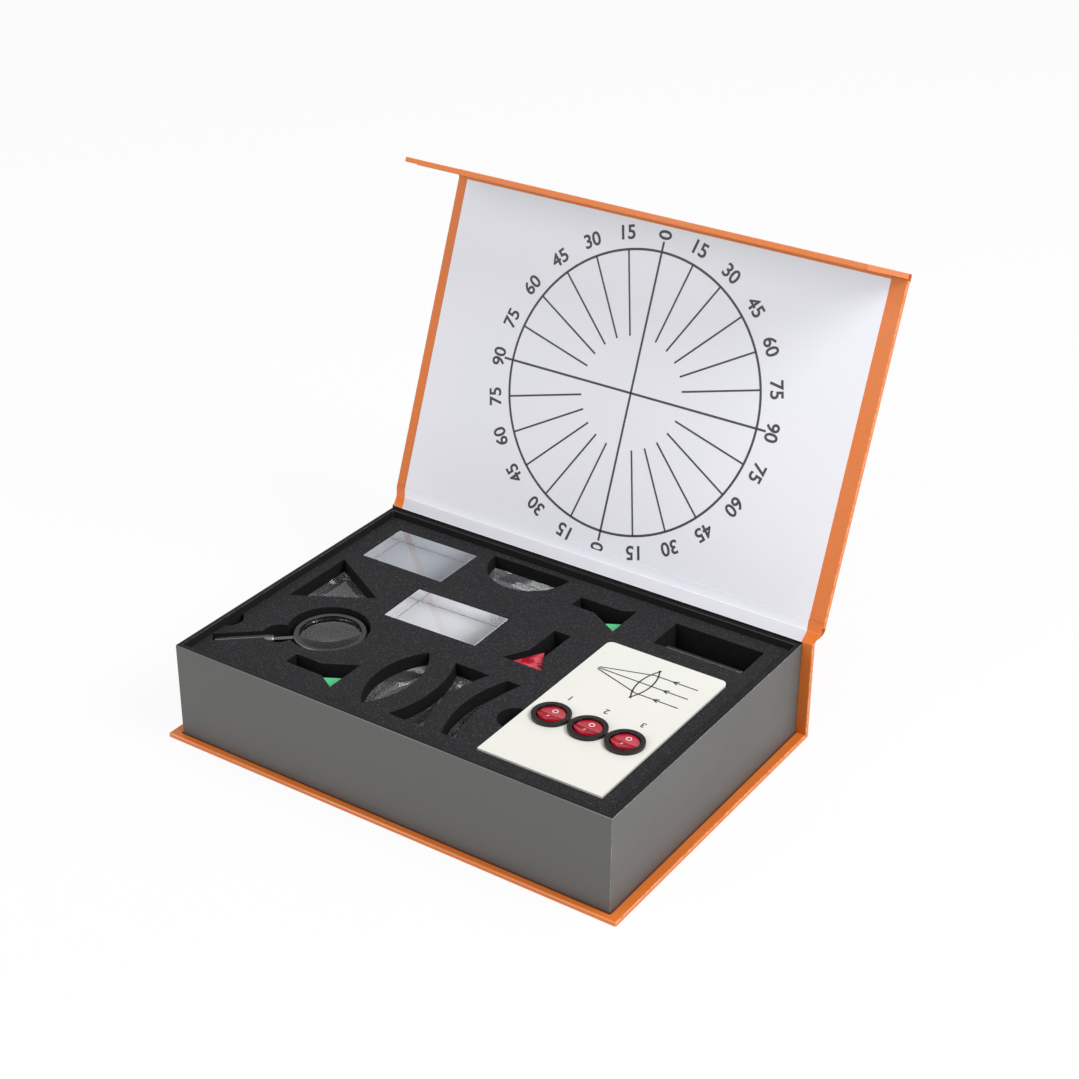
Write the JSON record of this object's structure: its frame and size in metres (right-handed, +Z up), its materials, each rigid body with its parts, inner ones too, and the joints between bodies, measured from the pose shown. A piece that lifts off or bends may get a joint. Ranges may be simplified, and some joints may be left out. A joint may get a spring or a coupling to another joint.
{
  "type": "optics ray box kit",
  "caption": "Book style case, lid open to an angle disc, with a foam insert holding a switched three beam ray box, lenses, prisms, blocks, a mirror and a magnifier.",
  "frame": {"origin": "centre of the case's tray on the underside of the base board", "axes": "+Z up, +X to the right as seen from the front, +Y to the back where the lid is hinged"},
  "size_m": [0.314, 0.3038, 0.2908],
  "materials": {
    "wrap_paper": "satin",
    "liner_paper": "satin",
    "tray_paper": "matte",
    "nickel": "satin",
    "foam": "matte",
    "white_plastic": "satin",
    "black_plastic": "satin",
    "switch_plastic": "satin",
    "rocker_plastic": "gloss",
    "clear_acrylic": "gloss",
    "green_acrylic": "gloss",
    "red_acrylic": "gloss",
    "screw_steel": "satin",
    "barrel_brass": "satin",
    "terminal_brass": "satin",
    "circuit_board": "satin",
    "cell_sleeve": "gloss",
    "wire_cover": "satin",
    "mirror_glass": "gloss",
    "mirror_paint": "gloss",
    "lens_glass": "gloss"
  },
  "bodies": {
    "case": {"base_board": "wrap_paper", "spine_board": "wrap_paper", "tray_shell": "tray_paper", "tray_magnets": "nickel"},
    "lid": {"lid_board": "wrap_paper", "lid_liner": "liner_paper", "lid_hinge_strip": "wrap_paper", "flap_hinge_strip": "wrap_paper"},
    "flap": {"flap_board": "wrap_paper", "flap_liner": "wrap_paper", "flap_magnets": "nickel"},
    "foam_insert": {"foam_top_layer": "foam", "foam_mid_layer": "foam", "foam_base_pad": "foam"},
    "ray_box": {"ray_box_upper_shell": "white_plastic", "ray_box_lower_shell": "white_plastic", "aperture_panel": "black_plastic", "beam_window": "clear_acrylic", "shell_screws": "screw_steel", "barrel_bracket": "black_plastic", "beam_barrel_1": "barrel_brass", "beam_barrel_2": "barrel_brass", "beam_barrel_3": "barrel_brass", "line_lens_1": "clear_acrylic", "line_lens_2": "clear_acrylic", "line_lens_3": "clear_acrylic", "driver_board": "circuit_board", "board_components": "black_plastic", "cell_holder": "black_plastic", "battery_cell_1": "cell_sleeve", "battery_cell_2": "cell_sleeve", "contact_plates": "nickel", "contact_springs": "nickel", "battery_door": "white_plastic", "door_screw": "screw_steel", "wiring": "wire_cover", "switch_housing_1": "switch_plastic", "switch_housing_2": "switch_plastic", "switch_housing_3": "switch_plastic", "switch_terminals": "terminal_brass"},
    "left_rocker": {"rocker_1": "rocker_plastic"},
    "middle_rocker": {"rocker_2": "rocker_plastic"},
    "right_rocker": {"rocker_3": "rocker_plastic"},
    "wide_rectangular_block_piece": {"wide_rectangular_block": "clear_acrylic"},
    "long_rectangular_block_piece": {"long_rectangular_block": "clear_acrylic"},
    "semicircular_block_piece": {"semicircular_block": "clear_acrylic"},
    "clear_prism_piece": {"clear_prism": "clear_acrylic"},
    "green_prism_1_piece": {"green_prism_1": "green_acrylic"},
    "green_prism_2_piece": {"green_prism_2": "green_acrylic"},
    "red_prism_piece": {"red_prism": "red_acrylic"},
    "biconvex_lens_piece": {"biconvex_lens": "clear_acrylic"},
    "biconcave_lens_piece": {"biconcave_lens": "clear_acrylic"},
    "curved_lens_piece": {"curved_lens": "clear_acrylic"},
    "plane_mirror": {"plane_mirror_glass": "mirror_glass", "plane_mirror_back": "mirror_paint"},
    "magnifier": {"magnifier_ring": "black_plastic", "magnifier_lens": "lens_glass", "magnifier_neck": "screw_steel", "magnifier_handle": "black_plastic"}
  },
  "joints": [
    {"name": "lid_hinge", "type": "hinge", "parent": "case", "child": "lid", "pos_m": [0, 0.1113, 0.0626], "axis": [1, 0, 0], "range_deg": [-80, 111.2]},
    {"name": "flap_hinge", "type": "hinge", "parent": "lid", "child": "flap", "pos_m": [0, 0.1933, 0.26462], "axis": [1, 0, 0], "range_deg": [-88, 2]},
    {"name": "foam_lift", "type": "slide", "parent": "case", "child": "foam_insert", "axis": [0, 0, 1], "range_m": [0, 0.07]},
    {"name": "ray_box_lift", "type": "slide", "parent": "foam_insert", "child": "ray_box", "axis": [0, 0, 1], "range_m": [0, 0.06]},
    {"name": "left_switch", "type": "hinge", "parent": "ray_box", "child": "left_rocker", "pos_m": [0.0684, -0.0374, 0.0599], "axis": [1, 0, 0], "range_deg": [0, 20]},
    {"name": "middle_switch", "type": "hinge", "parent": "ray_box", "child": "middle_rocker", "pos_m": [0.0924, -0.0374, 0.0599], "axis": [1, 0, 0], "range_deg": [0, 20]},
    {"name": "right_switch", "type": "hinge", "parent": "ray_box", "child": "right_rocker", "pos_m": [0.1164, -0.0374, 0.0599], "axis": [1, 0, 0], "range_deg": [0, 20]},
    {"name": "wide_rectangular_block_lift", "type": "slide", "parent": "foam_insert", "child": "wide_rectangular_block_piece", "axis": [0, 0, 1], "range_m": [0, 0.06]},
    {"name": "long_rectangular_block_lift", "type": "slide", "parent": "foam_insert", "child": "long_rectangular_block_piece", "axis": [0, 0, 1], "range_m": [0, 0.06]},
    {"name": "semicircular_block_lift", "type": "slide", "parent": "foam_insert", "child": "semicircular_block_piece", "axis": [0, 0, 1], "range_m": [0, 0.06]},
    {"name": "clear_prism_lift", "type": "slide", "parent": "foam_insert", "child": "clear_prism_piece", "axis": [0, 0, 1], "range_m": [0, 0.06]},
    {"name": "green_prism_1_lift", "type": "slide", "parent": "foam_insert", "child": "green_prism_1_piece", "axis": [0, 0, 1], "range_m": [0, 0.06]},
    {"name": "green_prism_2_lift", "type": "slide", "parent": "foam_insert", "child": "green_prism_2_piece", "axis": [0, 0, 1], "range_m": [0, 0.06]},
    {"name": "red_prism_lift", "type": "slide", "parent": "foam_insert", "child": "red_prism_piece", "axis": [0, 0, 1], "range_m": [0, 0.06]},
    {"name": "biconvex_lens_lift", "type": "slide", "parent": "foam_insert", "child": "biconvex_lens_piece", "axis": [0, 0, 1], "range_m": [0, 0.06]},
    {"name": "biconcave_lens_lift", "type": "slide", "parent": "foam_insert", "child": "biconcave_lens_piece", "axis": [0, 0, 1], "range_m": [0, 0.06]},
    {"name": "curved_lens_lift", "type": "slide", "parent": "foam_insert", "child": "curved_lens_piece", "axis": [0, 0, 1], "range_m": [0, 0.06]},
    {"name": "plane_mirror_lift", "type": "slide", "parent": "foam_insert", "child": "plane_mirror", "axis": [0, 0, 1], "range_m": [0, 0.06]},
    {"name": "magnifier_lift", "type": "slide", "parent": "foam_insert", "child": "magnifier", "axis": [0, 0, 1], "range_m": [0, 0.06]}
  ]
}
